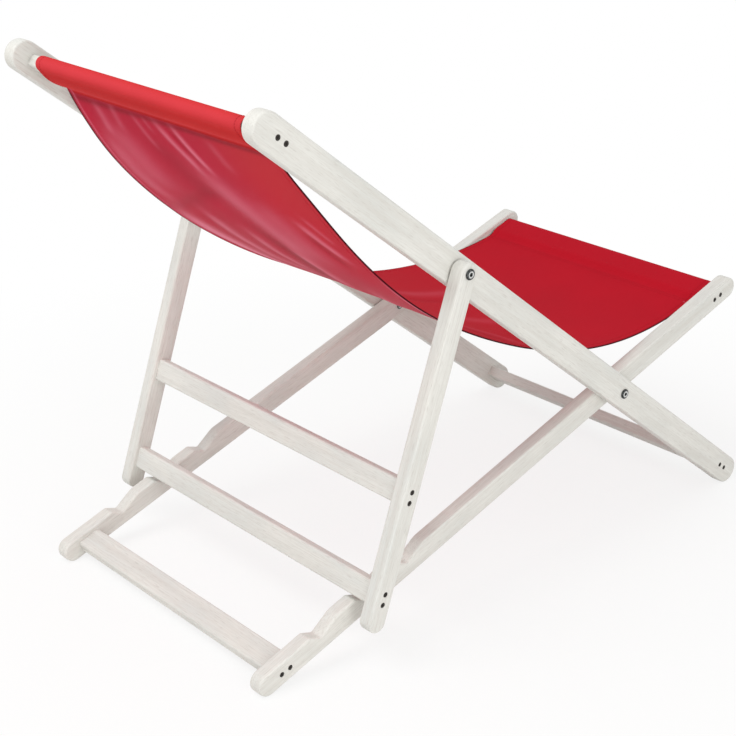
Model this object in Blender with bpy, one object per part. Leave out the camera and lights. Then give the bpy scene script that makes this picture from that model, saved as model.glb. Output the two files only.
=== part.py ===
"""Folding wooden beach chair with a fabric sling.

Three frames share two pairs of bolts. The back frame runs from the head bar down to the front feet.
The seat frame crosses it inside, from the knee bar down to the rear feet. The prop frame hangs on the
back frame outside, and its lower bar lies in a notch of the seat rails.

Metres, +Z up, +X towards the sitter's feet, +Y to the sitter's left. The origin is on the floor, under
the middle of the chair. In each frame's own axes X runs along its rails towards the feet of the
sitter, Z is the upper face's normal, and the frame's bolt is at zero.
"""

import math

import bmesh
import bpy
import numpy as np
from mathutils import Matrix, Vector

# General clearances
FIT_GAP = 0.0003  # between pieces that touch or seat
WASHER_GAP = 0.0015  # between two rails on one bolt

# Rails and legs
CHAIR_WIDTH = 0.570  # over the outer faces of the prop legs
RAIL_THICK = 0.0215
RAIL_ROUND = 0.003  # radius along every rail edge
RAIL_ROUND_STEPS = 2
RAIL_END_STEPS = 13
BACK_RAIL_WIDTH = 0.042
BACK_RAIL_HEAD = 0.8345  # frame bolt to head end
BACK_RAIL_FOOT = 0.3716  # frame bolt to foot end
SEAT_RAIL_WIDTH = 0.032
SEAT_RAIL_KNEE = 0.297  # frame bolt to knee end
SEAT_RAIL_FOOT = 0.696  # frame bolt to foot end
PROP_LEG_WIDTH = 0.028
PROP_LEG_DROP = 0.480  # prop bolt to lower end
PROP_BOLT_UP = 0.443  # frame bolt to prop bolt, along the back rail
FOOT_FLAT = 0.0005  # height of the flat that stands on the floor

# Crossbars
BAR_THICK = 0.016
STRETCHER_THICK = 0.018
BAR_ROUND = 0.003
FRAME_BAR_WIDTH = 0.036
PROP_BAR_WIDTH = 0.032
HEAD_BAR_INSET = 0.0455  # end of the rails to the middle of the bar, and so on below
STRETCHER_INSET = 0.0399
KNEE_BAR_INSET = 0.0425
REAR_BAR_INSET = 0.045
PROP_LOWER_BAR_INSET = 0.0495
HEAD_BAR = BACK_RAIL_HEAD - HEAD_BAR_INSET  # bolt of its own frame to the middle of the bar
STRETCHER_BAR = BACK_RAIL_FOOT - STRETCHER_INSET
KNEE_BAR = SEAT_RAIL_KNEE - KNEE_BAR_INSET
REAR_BAR = SEAT_RAIL_FOOT - REAR_BAR_INSET
PROP_UPPER_BAR = 0.2915
PROP_LOWER_BAR = PROP_LEG_DROP - PROP_LOWER_BAR_INSET

# Notches in the seat rails, by the shoulder that each one has on its rear side
NOTCH_COUNT = 3
NOTCH_NEAREST = 0.4425  # frame bolt to the shoulder of the nearest notch
NOTCH_PITCH = 0.0805
NOTCH_DEPTH = 0.012
NOTCH_RAMP = 0.034  # length of the gentle side
NOTCH_IN_USE = 1  # counted from the nearest
NOTCH_FLOOR_ROUND = 0.005
NOTCH_SHOULDER_ROUND = 0.006
NOTCH_RAMP_ROUND = 0.030
PROP_LIFT = 0.0065  # lower bar above the shoulder, along the prop leg
PROP_SETBACK = 0.004  # shoulder behind the prop leg's middle line

# Bolts with a flat domed head, and sleeve nuts with a smaller one
BOLT_RADIUS = 0.003
BOLT_HEAD_RADIUS = 0.0073
BOLT_HEAD_HEIGHT = 0.0026
NUT_HEAD_RADIUS = 0.0052
NUT_HEAD_HEIGHT = 0.0018
SLEEVE_RADIUS = 0.0040
SLEEVE_LENGTH = 0.012
SLEEVE_FLOOR = 0.0012  # metal left between the bore and the key socket
KEY_WIDTH = 0.005  # across the flats
KEY_DEPTH = 0.0018
WASHER_RADIUS = 0.009

# Wood screws, two at each bar end
SCREW_PITCH = 0.0145
PROP_SCREW_DROP = 0.0025  # how far a pair sits below the middle of a prop bar
SCREW_LENGTH = 0.048
SCREW_RADIUS = 0.0019
SCREW_HEAD_RADIUS = 0.0034
SCREW_HEAD_RIM = 0.0005
SCREW_RECESS_RADIUS = 0.0015
SCREW_RECESS_DEPTH = 0.0014
SCREW_SIDES = 8

# Sling: one cloth with a sleeve at each end
CLOTH_SIDE_GAP = 0.0025  # to each seat rail
CLOTH_THICK = 0.0016
HEM_LENGTH = 0.008  # hem beyond the seam, under the cloth
SEAM_REACH = 0.032  # bar's middle to the seam
HEAD_SEAM_DROP = 0.006  # seam below the head bar's middle plane
KNEE_SEAM_RISE = 0.005  # seam above the knee bar's middle plane
SLEEVE_SLACK = 0.005  # how far the sleeve hangs below its bar
HEAD_SLOPE = 58.8  # degrees below level where the cloth leaves the head bar
HEAD_PULL = 0.202  # length of the curve's handle there
KNEE_SLOPE = 11.0  # degrees above level where it meets the knee bar
KNEE_PULL = 0.403
MIDDLE_SAG = 0.002  # extra sag along the middle line
FOLD_COUNT = 3
FOLD_HEIGHT = 0.0022
CLOTH_STEPS = 26
SLEEVE_STEPS = 9
CLOTH_COLUMNS = 8

# Half width of each layer of rails, outer face, from the outside in
LAYER = RAIL_THICK + WASHER_GAP
PROP_SIDE = CHAIR_WIDTH / 2
BACK_SIDE = PROP_SIDE - LAYER
SEAT_SIDE = BACK_SIDE - LAYER
CLOTH_WIDTH = 2 * (SEAT_SIDE - RAIL_THICK - CLOTH_SIDE_GAP)


def solve_recline():
    """Angle at the frame bolt between the two rails, and the prop leg's angle to the seat rail."""
    shoulder_x = NOTCH_NEAREST + NOTCH_IN_USE * NOTCH_PITCH
    shoulder_z = SEAT_RAIL_WIDTH / 2
    to_shoulder = math.hypot(shoulder_x, shoulder_z)
    down_leg = PROP_LOWER_BAR + PROP_BAR_WIDTH / 2 + PROP_LIFT
    from_prop_bolt = math.hypot(down_leg, PROP_SETBACK)
    squares = PROP_BOLT_UP**2 + to_shoulder**2 - from_prop_bolt**2
    opening = math.acos(squares / (2 * PROP_BOLT_UP * to_shoulder)) + math.atan2(shoulder_z, shoulder_x)
    fall = PROP_BOLT_UP * math.sin(opening) - shoulder_z
    run = shoulder_x - PROP_BOLT_UP * math.cos(opening)
    leg_angle = math.atan2(fall, run) + math.atan2(PROP_SETBACK, down_leg)
    return opening, leg_angle


def solve_stance(opening):
    """Slopes of the back and seat rails, and the bolt's height, with both round foot ends on the floor."""
    back_round = BACK_RAIL_WIDTH / 2
    seat_round = SEAT_RAIL_WIDTH / 2
    back_foot = BACK_RAIL_FOOT - back_round
    seat_foot = SEAT_RAIL_FOOT - seat_round
    across = back_foot + seat_foot * math.cos(opening)
    along = seat_foot * math.sin(opening)
    back_slope = math.atan2(along, across) + math.asin((seat_round - back_round) / math.hypot(across, along))
    height = back_foot * math.sin(back_slope) + back_round - FOOT_FLAT
    return back_slope, opening - back_slope, height


OPENING, LEG_TO_SEAT = solve_recline()
BACK_SLOPE, SEAT_SLOPE, BOLT_HEIGHT = solve_stance(OPENING)
LEG_SLOPE = LEG_TO_SEAT + SEAT_SLOPE


def frame_matrix(x, z, turn):
    return Matrix.Translation((x, 0, z)) @ Matrix.Rotation(turn, 4, "Y")


def middle_of_chair():
    """X of the frame bolt, so that the chair's outline has its middle at zero."""
    back_round = BACK_RAIL_WIDTH / 2
    seat_round = SEAT_RAIL_WIDTH / 2
    head = -(BACK_RAIL_HEAD - back_round) * math.cos(BACK_SLOPE) - back_round
    rear_foot = -(SEAT_RAIL_FOOT - seat_round) * math.cos(SEAT_SLOPE) - seat_round
    front_foot = (BACK_RAIL_FOOT - back_round) * math.cos(BACK_SLOPE) + back_round
    knee = (SEAT_RAIL_KNEE - seat_round) * math.cos(SEAT_SLOPE) + seat_round
    return -(min(head, rear_foot) + max(front_foot, knee)) / 2


BOLT_X = middle_of_chair()
BACK_FRAME = frame_matrix(BOLT_X, BOLT_HEIGHT, BACK_SLOPE)
SEAT_FRAME = frame_matrix(BOLT_X, BOLT_HEIGHT, -SEAT_SLOPE)
PROP_BOLT = BACK_FRAME @ Vector((-PROP_BOLT_UP, 0, 0))
PROP_FRAME = frame_matrix(PROP_BOLT.x, PROP_BOLT.z, -LEG_SLOPE)


def material(name, colour, roughness, metallic=0.0):
    made = bpy.data.materials.new(name)
    made.use_nodes = True
    shader = made.node_tree.nodes["Principled BSDF"]
    shader.inputs["Base Color"].default_value = (*colour, 1)
    shader.inputs["Roughness"].default_value = roughness
    shader.inputs["Metallic"].default_value = metallic
    return made


def add_object(name, mesh, finish, parent=None):
    """One closed mesh as one named object, with its faces turned outwards."""
    shell = bmesh.new()
    shell.from_mesh(mesh)
    bmesh.ops.recalc_face_normals(shell, faces=shell.faces)
    shell.to_mesh(mesh)
    shell.free()
    mesh.set_sharp_from_angle(angle=math.radians(35))
    made = bpy.data.objects.new(name, mesh)
    made.data.materials.append(finish)
    made.parent = parent
    bpy.context.scene.collection.objects.link(made)
    return made


def mesh_from(name, points, faces):
    mesh = bpy.data.meshes.new(name)
    mesh.from_pydata([tuple(p) for p in points], [], faces)
    mesh.shade_smooth()
    return mesh


def arc_points(centre, radius, start, end, count):
    angles = np.linspace(start, end, count)[:, None]
    return np.array(centre) + radius * np.concatenate((np.cos(angles), np.sin(angles)), axis=1)


def rounded_corners(corners, steps):
    """Points of a line through the corners (x, z, radius), with an arc of that radius at each inner one."""
    line = []
    for behind, here, ahead in zip(corners, corners[1:], corners[2:]):
        corner, radius = np.array(here[:2]), here[2]
        before = np.array(behind[:2]) - corner
        after = np.array(ahead[:2]) - corner
        before /= np.linalg.norm(before)
        after /= np.linalg.norm(after)
        half = math.acos(np.clip(before @ after, -1, 1)) / 2
        centre = corner + (before + after) / np.linalg.norm(before + after) * radius / math.sin(half)
        first = corner + before * radius / math.tan(half) - centre
        last = corner + after * radius / math.tan(half) - centre
        start = math.atan2(first[1], first[0])
        sweep = math.atan2(first[0] * last[1] - first[1] * last[0], first @ last)
        count = max(3, round(steps * abs(sweep) / math.pi) + 1)
        line.append(arc_points(centre, radius, start, start + sweep, count))
    return np.concatenate(line)


def inset_outline(outline, distance):
    """The outline moved inwards by the distance, corner by corner."""
    ahead = np.roll(outline, -1, axis=0) - outline
    ahead /= np.linalg.norm(ahead, axis=1)[:, None]
    behind = np.roll(ahead, 1, axis=0)
    side = np.stack((-ahead[:, 1] - behind[:, 1], ahead[:, 0] + behind[:, 0]), axis=1)
    side /= (side * side).sum(axis=1)[:, None] / 2
    return outline + side * distance


def slab_mesh(name, outline, inner, outer, radius, side):
    """The outline as a board between two distances from the middle, with round edges of that radius."""
    rings = []
    angles = np.linspace(0, math.pi / 2, RAIL_ROUND_STEPS + 1)
    for angle in angles:
        rings.append((radius * (1 - math.sin(angle)), inner + radius * (1 - math.cos(angle))))
    for angle in angles[::-1]:
        rings.append((radius * (1 - math.sin(angle)), outer - radius * (1 - math.cos(angle))))
    points = []
    for inset, distance in rings:
        level = inset_outline(outline, inset)
        points += [(x, side * distance, z) for x, z in level]
    count = len(outline)
    faces = [tuple(range(count)), tuple(range((len(rings) - 1) * count, len(rings) * count))]
    for ring in range(len(rings) - 1):
        for index in range(count):
            a, b = ring * count + index, ring * count + (index + 1) % count
            faces.append((a, b, b + count, a + count))
    return mesh_from(name, points, faces)


def turned_points(profile, x, z, side, segments, turn=0.0):
    """Rings of a profile (radius, distance from the middle) turned about an axis along Y."""
    points, rings = [], []
    for radius, distance in profile:
        first = len(points)
        if radius == 0:
            points.append((x, side * distance, z))
            rings.append([first])
            continue
        for step in range(segments):
            angle = turn + 2 * math.pi * step / segments
            points.append((x + radius * math.cos(angle), side * distance, z + radius * math.sin(angle)))
        rings.append(list(range(first, first + segments)))
    return points, rings


def turned_faces(rings, closed):
    faces = []
    pairs = list(zip(rings, rings[1:])) + ([(rings[-1], rings[0])] if closed else [])
    for low, high in pairs:
        count = max(len(low), len(high))
        for index in range(count):
            following = (index + 1) % count
            if len(low) == 1:
                faces.append((low[0], high[index], high[following]))
            elif len(high) == 1:
                faces.append((low[index], low[following], high[0]))
            else:
                faces.append((low[index], low[following], high[following], high[index]))
    return faces


def turned_mesh(name, profile, spots, segments, closed=False, turn=0.0):
    """The turned shape at each spot (x, z, side), as separate closed shells in one mesh."""
    points, faces = [], []
    for x, z, side in spots:
        more, rings = turned_points(profile, x, z, side, segments, turn)
        shift = len(points)
        points += more
        faces += [tuple(index + shift for index in face) for face in turned_faces(rings, closed)]
    return mesh_from(name, points, faces)


def cut(target, cutter_mesh, parent):
    """Takes the closed shells of the mesh out of the target."""
    cutter = add_object(cutter_mesh.name, cutter_mesh, target.data.materials[0], parent)
    cutter.hide_render = True
    cutter.display_type = "WIRE"
    hole = target.modifiers.new(cutter.name, "BOOLEAN")
    hole.operation = "DIFFERENCE"
    hole.solver = "EXACT"
    hole.object = cutter


def merged_mesh(name, meshes):
    """Several closed meshes as one."""
    points, faces = [], []
    for mesh in meshes:
        shift = len(points)
        points += [tuple(vertex.co) for vertex in mesh.vertices]
        faces += [tuple(index + shift for index in polygon.vertices) for polygon in mesh.polygons]
        bpy.data.meshes.remove(mesh)
    return mesh_from(name, points, faces)


def rail_outline(head, foot, width, upper_edge=()):
    """Rail from x = head to x = foot with full round ends, and any points along its upper edge."""
    half = width / 2
    parts = [arc_points((foot - half, 0), half, -math.pi / 2, math.pi / 2, RAIL_END_STEPS)]
    parts += list(upper_edge)
    parts.append(arc_points((head + half, 0), half, math.pi / 2, 1.5 * math.pi, RAIL_END_STEPS))
    return np.concatenate(parts)


def notch_points():
    """Upper edge of the seat rail through its notches, from the knee to the foot."""
    half = SEAT_RAIL_WIDTH / 2
    steep = math.pi / 2 - LEG_TO_SEAT  # square to the prop leg that bears on it
    corners = [(SEAT_RAIL_KNEE, half, 0)]
    for number in range(NOTCH_COUNT):
        shoulder = -(NOTCH_NEAREST + number * NOTCH_PITCH)
        floor = shoulder + NOTCH_DEPTH / math.tan(steep)
        corners.append((floor + NOTCH_RAMP, half, NOTCH_RAMP_ROUND))
        corners.append((floor, half - NOTCH_DEPTH, NOTCH_FLOOR_ROUND))
        corners.append((shoulder, half, NOTCH_SHOULDER_ROUND))
    corners.append((-SEAT_RAIL_FOOT, half, 0))
    return rounded_corners(corners, 2 * RAIL_END_STEPS)


def floor_mesh(name, frame, x):
    """Block under the floor at a foot, in the frame's own axes."""
    foot = frame @ Vector((x, 0, 0))
    deep = BACK_RAIL_WIDTH
    box = bmesh.new()
    bmesh.ops.create_cube(box, size=1)
    bmesh.ops.scale(box, vec=(4 * deep, 2 * CHAIR_WIDTH, deep), verts=box.verts)
    bmesh.ops.translate(box, vec=(foot.x, 0, -deep / 2), verts=box.verts)
    box.transform(frame.inverted())
    mesh = bpy.data.meshes.new(name)
    box.to_mesh(mesh)
    box.free()
    return mesh


def screw_profile(outer_face, margin, recess):
    """Countersunk wood screw driven in from an outer face: (radius, distance from the middle)."""
    head = outer_face - FIT_GAP
    taper = SCREW_HEAD_RADIUS - SCREW_RADIUS
    profile = []
    if recess:
        profile += [(0, head - SCREW_RECESS_DEPTH), (SCREW_RECESS_RADIUS, head)]
    else:
        head = outer_face + SCREW_HEAD_RADIUS
        profile += [(0, head)]
    seat = outer_face - FIT_GAP - SCREW_HEAD_RIM
    profile += [
        (SCREW_HEAD_RADIUS + margin, head),
        (SCREW_HEAD_RADIUS + margin, seat - margin / 2),
        (SCREW_RADIUS + margin, seat - taper - margin / 2),
        (SCREW_RADIUS + margin, outer_face - SCREW_LENGTH + 2 * SCREW_RADIUS),
        (0, outer_face - SCREW_LENGTH - margin),
    ]
    return profile


def screw_spots(bar_places, sides=(1, -1)):
    offsets = (-SCREW_PITCH / 2, SCREW_PITCH / 2)
    return [(x + offset, 0, side) for x in bar_places for side in sides for offset in offsets]


def hole_mesh(name, radius, x, inner, outer, side):
    over = RAIL_THICK / 4
    profile = [(0, inner - over), (radius, inner - over), (radius, outer + over), (0, outer + over)]
    return turned_mesh(name, profile, [(x, 0, side)], 20)


def make_rail(name, outline, outer_face, side, finish, empty, frame, bars, bolts, foot=None):
    """One rail or leg, with its screw holes and bolt holes (x, radius), and its foot flat."""
    inner_face = outer_face - RAIL_THICK
    mesh = slab_mesh(name, outline, inner_face, outer_face, RAIL_ROUND, side)
    rail = add_object(name, mesh, finish, empty)
    screw_hole = screw_profile(outer_face, FIT_GAP, False)
    holes = [turned_mesh("screws", screw_hole, screw_spots(bars, (side,)), SCREW_SIDES)]
    holes += [hole_mesh("bolt", radius, x, inner_face, outer_face, side) for x, radius in bolts]
    cut(rail, merged_mesh(name + "_holes", holes), empty)
    if foot is not None:
        cut(rail, floor_mesh(name + "_floor", frame, foot), empty)


def make_bar(name, x, width, thick, screw_x, rail_outer_face, finish, screw_finish, empty):
    """Crossbar between two rails, with the screws and their holes in its ends."""
    half = rail_outer_face - RAIL_THICK - FIT_GAP
    corners = [
        (x - width / 2, -thick / 2, BAR_ROUND),
        (x + width / 2, -thick / 2, BAR_ROUND),
        (x + width / 2, thick / 2, BAR_ROUND),
        (x - width / 2, thick / 2, BAR_ROUND),
    ]
    outline = rounded_corners(corners[-1:] + corners + corners[:1], 8)
    count = len(outline)
    points = [(px, y, pz) for y in (-half, half) for px, pz in outline]
    faces = [tuple(range(count)), tuple(range(count, 2 * count))]
    faces += [(i, (i + 1) % count, count + (i + 1) % count, count + i) for i in range(count)]
    bar = add_object(name, mesh_from(name, points, faces), finish, empty)
    profile = screw_profile(rail_outer_face, FIT_GAP, False)
    cut(bar, turned_mesh(name + "_holes", profile, screw_spots((screw_x,)), SCREW_SIDES), empty)
    profile = screw_profile(rail_outer_face, 0, True)
    places = ("left_1", "left_2", "right_1", "right_2")
    for place, spot in zip(places, screw_spots((screw_x,))):
        screw_name = f"{name}_screw_{place}"
        add_object(screw_name, turned_mesh(screw_name, profile, [spot], SCREW_SIDES), screw_finish, empty)


def dome(face, radius, height):
    """Profile of a low domed head standing on a face, from its middle to its rim."""
    rim = height * 0.45
    return [
        (0, face + height),
        (radius * 0.55, face + height * 0.97),
        (radius * 0.85, face + height * 0.78),
        (radius, face + rim),
        (radius, face),
    ]


def cut_key_socket(target, x, face, height, side, empty, outwards):
    """Six-sided key socket in a domed head."""
    top = face + outwards * (height + KEY_DEPTH)
    bottom = face + outwards * (height - KEY_DEPTH)
    radius = KEY_WIDTH / math.sqrt(3)
    profile = [(0, bottom), (radius, bottom), (radius, top), (0, top)]
    cut(target, turned_mesh(target.name + "_key", profile, [(x, 0, side)], 6), empty)


def make_bolt_set(place, x, outer_face, side_name, side, finish, empty):
    """Bolt, washer and sleeve nut through two rails, the first with this outer face."""
    head_face = outer_face + FIT_GAP
    between = outer_face - RAIL_THICK
    inner_face = between - WASHER_GAP - RAIL_THICK
    nut_face = inner_face - FIT_GAP
    sleeve_end = inner_face + SLEEVE_LENGTH
    bore_floor = nut_face - NUT_HEAD_HEIGHT + KEY_DEPTH + SLEEVE_FLOOR

    bolt_end = bore_floor + 2 * FIT_GAP
    profile = dome(head_face, BOLT_HEAD_RADIUS, BOLT_HEAD_HEIGHT)
    profile += [(BOLT_RADIUS, head_face), (BOLT_RADIUS, bolt_end), (0, bolt_end)]
    name = f"{place}_bolt_{side_name}"
    bolt = add_object(name, turned_mesh(name, profile, [(x, 0, side)], 20), finish, empty)
    cut_key_socket(bolt, x, head_face, BOLT_HEAD_HEIGHT, side, empty, 1)

    profile = [(r, 2 * nut_face - d) for r, d in dome(nut_face, NUT_HEAD_RADIUS, NUT_HEAD_HEIGHT)]
    profile += [
        (SLEEVE_RADIUS, nut_face),
        (SLEEVE_RADIUS, sleeve_end),
        (BOLT_RADIUS + FIT_GAP, sleeve_end),
        (BOLT_RADIUS + FIT_GAP, bore_floor),
        (0, bore_floor),
    ]
    name = f"{place}_nut_{side_name}"
    nut = add_object(name, turned_mesh(name, profile, [(x, 0, side)], 20), finish, empty)
    cut_key_socket(nut, x, nut_face, NUT_HEAD_HEIGHT, side, empty, -1)

    near, far = between - WASHER_GAP + FIT_GAP, between - FIT_GAP
    hole = BOLT_RADIUS + FIT_GAP
    profile = [(hole, near), (WASHER_RADIUS, near), (WASHER_RADIUS, far), (hole, far)]
    name = f"{place}_washer_{side_name}"
    add_object(name, turned_mesh(name, profile, [(x, 0, side)], 24, closed=True), finish, empty)


def bezier(start, first, second, end, steps):
    """Points of a cubic curve, without its last one."""
    part = np.linspace(0, 1, steps, endpoint=False)[:, None]
    rest = 1 - part
    return rest**3 * start + 3 * rest**2 * part * first + 3 * rest * part**2 * second + part**3 * end


def sleeve_path(seam, away):
    """Middle line of a sleeve round a bar, in the bar's own plane, from the seam to the end of the hem.

    The bar's middle is at zero, its far edge towards +x. The cloth leaves the seam along away.
    """
    lift = BAR_THICK / 2 + 2 * FIT_GAP + CLOTH_THICK / 2
    flat = FRAME_BAR_WIDTH / 2 - BAR_ROUND
    layer = CLOTH_THICK + 2 * FIT_GAP
    edge = np.array((-flat, lift))
    over = bezier(seam, seam - away * BAR_ROUND, edge - (2 * BAR_ROUND, 0), edge, 5)
    around = arc_points((flat, 0), lift, math.pi / 2, -math.pi / 2, SLEEVE_STEPS)
    lower = np.array((away[1], -away[0]))
    lower *= -np.sign(lower[1])
    hem_start = seam + lower * layer
    slack = -lift - SLEEVE_SLACK
    below = bezier(around[-1], np.array((0, slack)), np.array((-flat - BAR_ROUND, slack)), hem_start, 7)[1:]
    hem = np.array((hem_start, hem_start + away * HEM_LENGTH))
    return np.concatenate((over, (edge,), around, below, hem))


def sling_path():
    """Middle line of the cloth in the chair's side plane, and how free each point is to sag."""
    ends = []
    for frame, x, seam_z, flip, slope in (
        (BACK_FRAME, -HEAD_BAR, -HEAD_SEAM_DROP, -1, -HEAD_SLOPE),
        (SEAT_FRAME, KNEE_BAR, KNEE_SEAM_RISE, 1, KNEE_SLOPE),
    ):
        turn = np.array(frame.to_3x3())[np.ix_((0, 2), (0, 2))]
        bar = np.array(frame @ Vector((x, 0, 0)))[[0, 2]]
        slope = math.radians(slope)
        leave = -flip * np.array((math.cos(slope), math.sin(slope)))
        away = np.linalg.solve(turn, leave) * (flip, 1)
        loop = sleeve_path(np.array((-SEAM_REACH, seam_z)), away)
        ends.append((bar + (loop * (flip, 1)) @ turn.T, leave))
    (head_loop, head_leave), (knee_loop, knee_leave) = ends
    head_seam, knee_seam = head_loop[0], knee_loop[0]
    free = bezier(
        head_seam, head_seam + head_leave * HEAD_PULL, knee_seam + knee_leave * KNEE_PULL, knee_seam, CLOTH_STEPS
    )[1:]
    path = np.concatenate((head_loop[::-1], free, knee_loop))
    sag = np.zeros(len(path))
    sag[len(head_loop) : len(head_loop) + len(free)] = np.arange(1, CLOTH_STEPS) / CLOTH_STEPS
    return path, sag


def make_sling(finish, empty):
    """The cloth as one strip of even thickness, with its middle sag and soft folds along it."""
    path, part = sling_path()
    across = np.linspace(-1, 1, CLOTH_COLUMNS + 1)
    ahead = np.gradient(path, axis=0)
    ahead /= np.linalg.norm(ahead, axis=1)[:, None]
    upward = np.stack((-ahead[:, 1], ahead[:, 0]), axis=1)
    freedom = np.sin(math.pi * part) ** 2
    folds = np.cos(math.pi * FOLD_COUNT * across) * (1 - across**2)
    drop = MIDDLE_SAG * (1 - across**2) + FOLD_HEIGHT * folds
    points = []
    for face in (CLOTH_THICK / 2, -CLOTH_THICK / 2):
        level = face - freedom[:, None] * drop[None, :]
        x = path[:, 0, None] + upward[:, 0, None] * level
        z = path[:, 1, None] + upward[:, 1, None] * level
        y = np.broadcast_to(across * CLOTH_WIDTH / 2, x.shape)
        points.append(np.stack((x, y, z), axis=-1).reshape(-1, 3))
    rows, columns = len(path), CLOTH_COLUMNS + 1
    under = rows * columns
    faces = []
    for row in range(rows - 1):
        for column in range(columns - 1):
            a = row * columns + column
            b = a + columns
            faces.append((a, a + 1, b + 1, b))
            faces.append((under + a, under + b, under + b + 1, under + a + 1))
        for a in (row * columns, row * columns + columns - 1):
            faces.append((a, a + columns, under + a + columns, under + a))
    for column in range(columns - 1):
        for a in (column, (rows - 1) * columns + column):
            faces.append((a, a + 1, under + a + 1, under + a))
    length = np.linalg.norm(np.diff(path, axis=0), axis=1).sum()
    print(f"sling cloth {length:.3f} m long with its sleeves, {CLOTH_WIDTH:.3f} m wide")
    mesh = mesh_from("sling", np.concatenate(points), faces)
    mesh.transform(empty.matrix_basis.inverted())
    return add_object("sling", mesh, finish, empty)


def make_empty(name, matrix):
    empty = bpy.data.objects.new(name, None)
    empty.empty_display_size = 0.05
    empty.matrix_basis = matrix
    bpy.context.scene.collection.objects.link(empty)
    return empty


def build():
    for item in list(bpy.data.objects):
        bpy.data.objects.remove(item, do_unlink=True)

    wood = material("white_washed_beech", (0.78, 0.74, 0.70), 0.55)
    cloth = material("red_canvas", (0.50, 0.012, 0.022), 0.75)
    zinc = material("zinc_plated_steel", (0.62, 0.62, 0.61), 0.30, 1.0)
    dark_steel = material("dark_screw_steel", (0.10, 0.09, 0.085), 0.45, 1.0)

    back = make_empty("back_frame_axis", BACK_FRAME)
    seat = make_empty("seat_frame_axis", SEAT_FRAME)
    prop = make_empty("prop_frame_axis", PROP_FRAME)

    outer_hole = BOLT_RADIUS + FIT_GAP
    inner_hole = SLEEVE_RADIUS + FIT_GAP
    back_outline = rail_outline(-BACK_RAIL_HEAD, BACK_RAIL_FOOT, BACK_RAIL_WIDTH)
    seat_outline = rail_outline(-SEAT_RAIL_FOOT, SEAT_RAIL_KNEE, SEAT_RAIL_WIDTH, [notch_points()])
    prop_outline = rail_outline(-PROP_LEG_DROP, PROP_LEG_WIDTH / 2, PROP_LEG_WIDTH)
    back_bars = (-HEAD_BAR, STRETCHER_BAR)
    seat_bars = (KNEE_BAR, -REAR_BAR)
    prop_screws = (-PROP_UPPER_BAR - PROP_SCREW_DROP, -PROP_LOWER_BAR - PROP_SCREW_DROP)
    back_foot = BACK_RAIL_FOOT - BACK_RAIL_WIDTH / 2
    seat_foot = SEAT_RAIL_WIDTH / 2 - SEAT_RAIL_FOOT

    for side_name, side in (("left", 1), ("right", -1)):
        make_rail(
            f"back_rail_{side_name}", back_outline, BACK_SIDE, side, wood, back, BACK_FRAME, back_bars,
            ((0, outer_hole), (-PROP_BOLT_UP, inner_hole)), back_foot,
        )
        make_rail(
            f"seat_rail_{side_name}", seat_outline, SEAT_SIDE, side, wood, seat, SEAT_FRAME, seat_bars,
            ((0, inner_hole),), seat_foot,
        )
        make_rail(
            f"prop_leg_{side_name}", prop_outline, PROP_SIDE, side, wood, prop, PROP_FRAME, prop_screws,
            ((0, outer_hole),),
        )
        make_bolt_set("frame", 0, BACK_SIDE, side_name, side, zinc, back)
        make_bolt_set("prop", -PROP_BOLT_UP, PROP_SIDE, side_name, side, zinc, back)

    for name, x, width, thick, screw_x, side, empty in (
        ("head_bar", -HEAD_BAR, FRAME_BAR_WIDTH, BAR_THICK, back_bars[0], BACK_SIDE, back),
        ("stretcher_bar", STRETCHER_BAR, FRAME_BAR_WIDTH, STRETCHER_THICK, back_bars[1], BACK_SIDE, back),
        ("knee_bar", KNEE_BAR, FRAME_BAR_WIDTH, BAR_THICK, seat_bars[0], SEAT_SIDE, seat),
        ("rear_bar", -REAR_BAR, FRAME_BAR_WIDTH, BAR_THICK, seat_bars[1], SEAT_SIDE, seat),
        ("prop_upper_bar", -PROP_UPPER_BAR, PROP_BAR_WIDTH, BAR_THICK, prop_screws[0], PROP_SIDE, prop),
        ("prop_lower_bar", -PROP_LOWER_BAR, PROP_BAR_WIDTH, BAR_THICK, prop_screws[1], PROP_SIDE, prop),
    ):
        make_bar(name, x, width, thick, screw_x, side, wood, dark_steel, empty)
    make_sling(cloth, back)


build()
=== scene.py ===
import math

import bmesh
import bpy
import numpy as np
from mathutils import Matrix


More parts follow.
